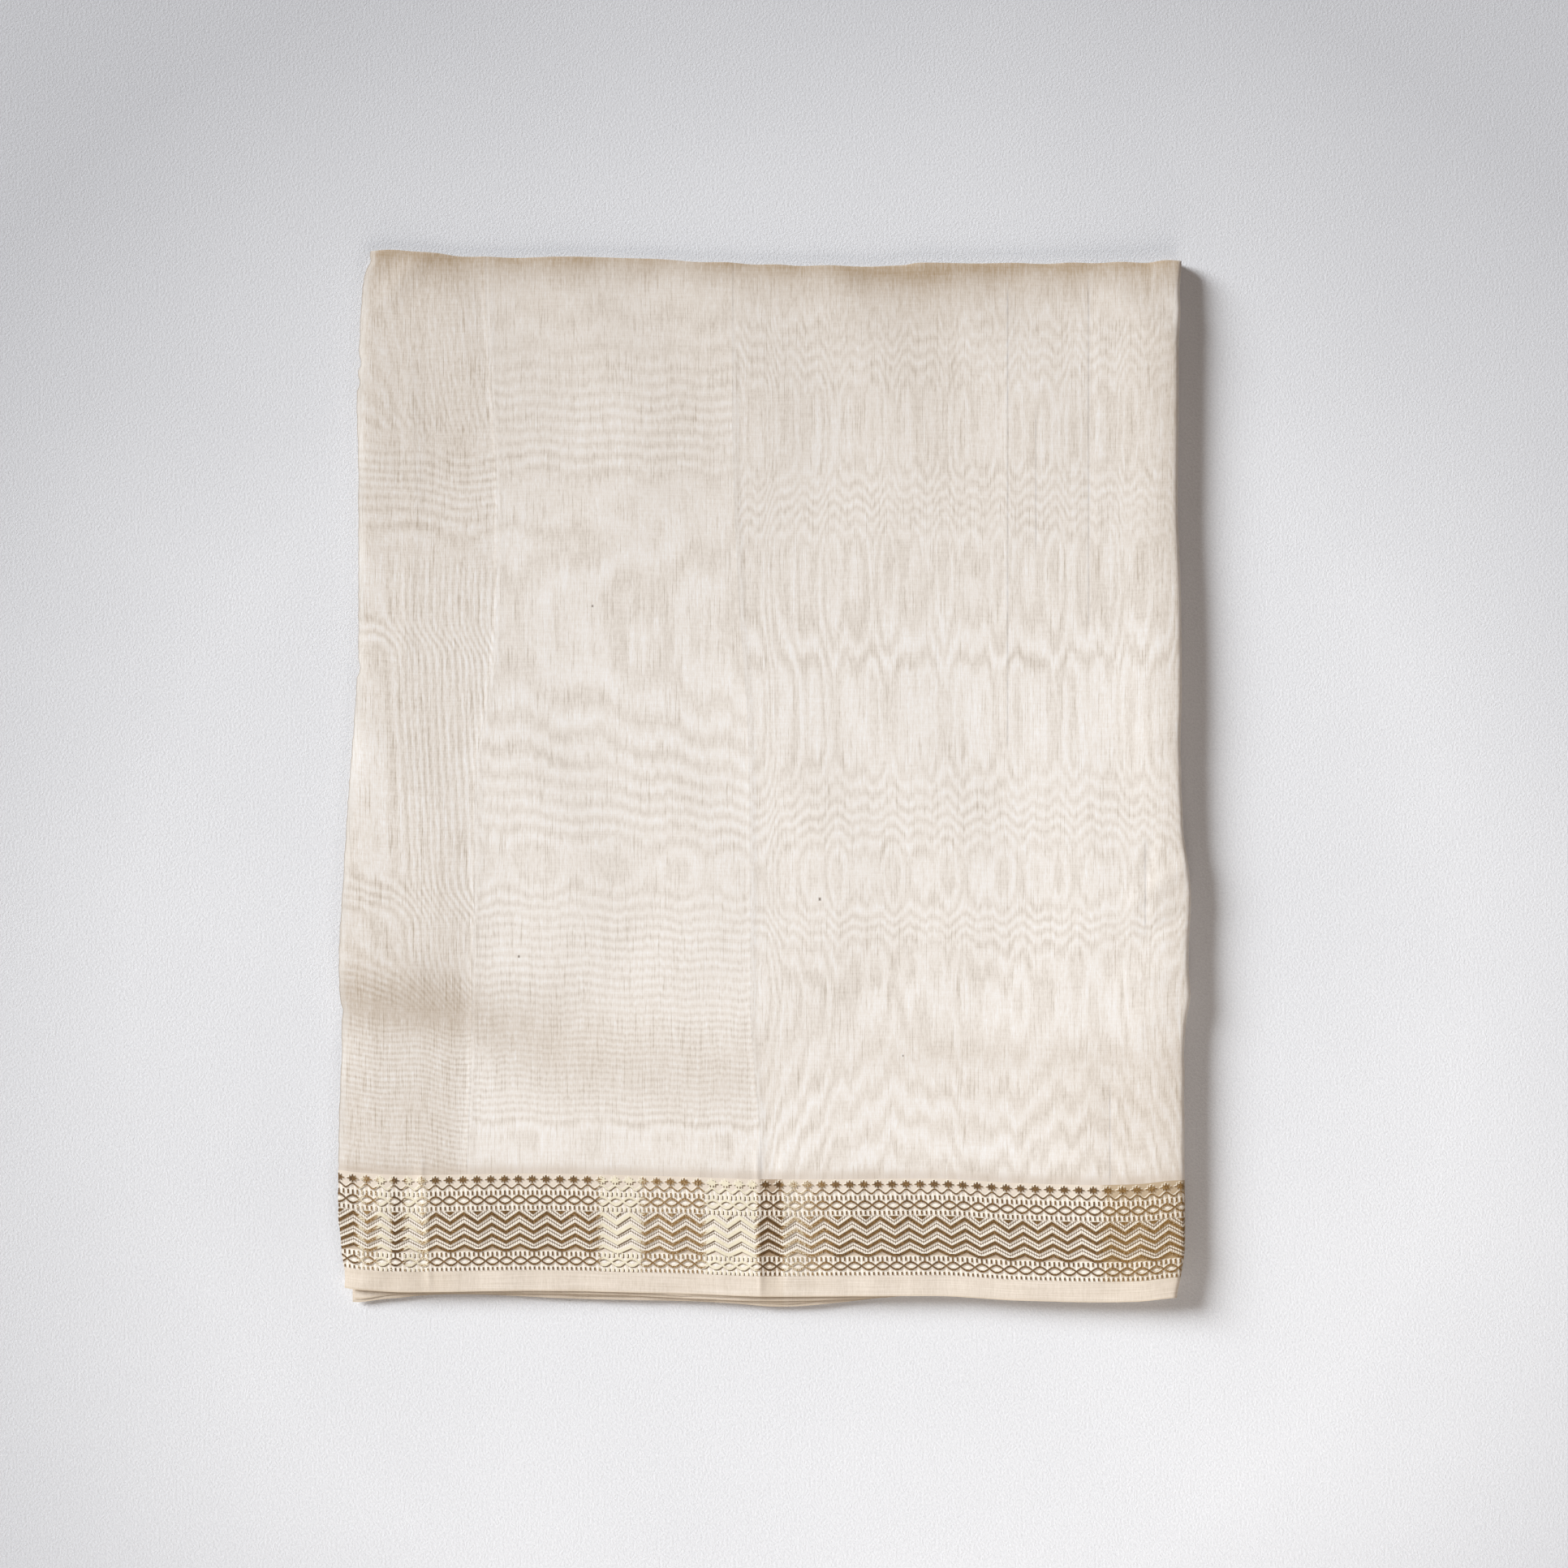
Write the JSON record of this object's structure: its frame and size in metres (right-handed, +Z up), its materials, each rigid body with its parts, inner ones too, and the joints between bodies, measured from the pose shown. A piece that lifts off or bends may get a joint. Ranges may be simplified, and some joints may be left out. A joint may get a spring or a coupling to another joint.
{
  "type": "folded length of silk fabric",
  "caption": "Length of sheer silk with a woven metal-thread border, doubled across its width and folded into a flat stack that is thicker along one folded side.",
  "frame": {"origin": "under the middle of the folded stack, on the surface it lies on", "axes": "+X to the thick fold, +Y to the long fold that doubles the cloth's width, +Z up; the selvedges and the border lie at -Y"},
  "size_m": [0.469, 0.5812, 0.0132],
  "materials": {
    "sheer_silk": "undyed sheer plain weave with slubs, soft sheen, layers showing through as ripples",
    "metal_thread_border": "gold-coloured metal thread woven into a cream ground, shiny",
    "plain_selvedge": "close cream plain weave, soft sheen"
  },
  "bodies": {
    "root": {"top_ply_field": "sheer_silk", "top_ply_border": "metal_thread_border", "top_ply_selvedge": "plain_selvedge", "inner_ply_selvedge_1": "plain_selvedge", "inner_ply_selvedge_2": "plain_selvedge", "inner_ply_selvedge_3": "plain_selvedge", "inner_layers": "sheer_silk", "under_ply": "sheer_silk"}
  },
  "joints": []
}
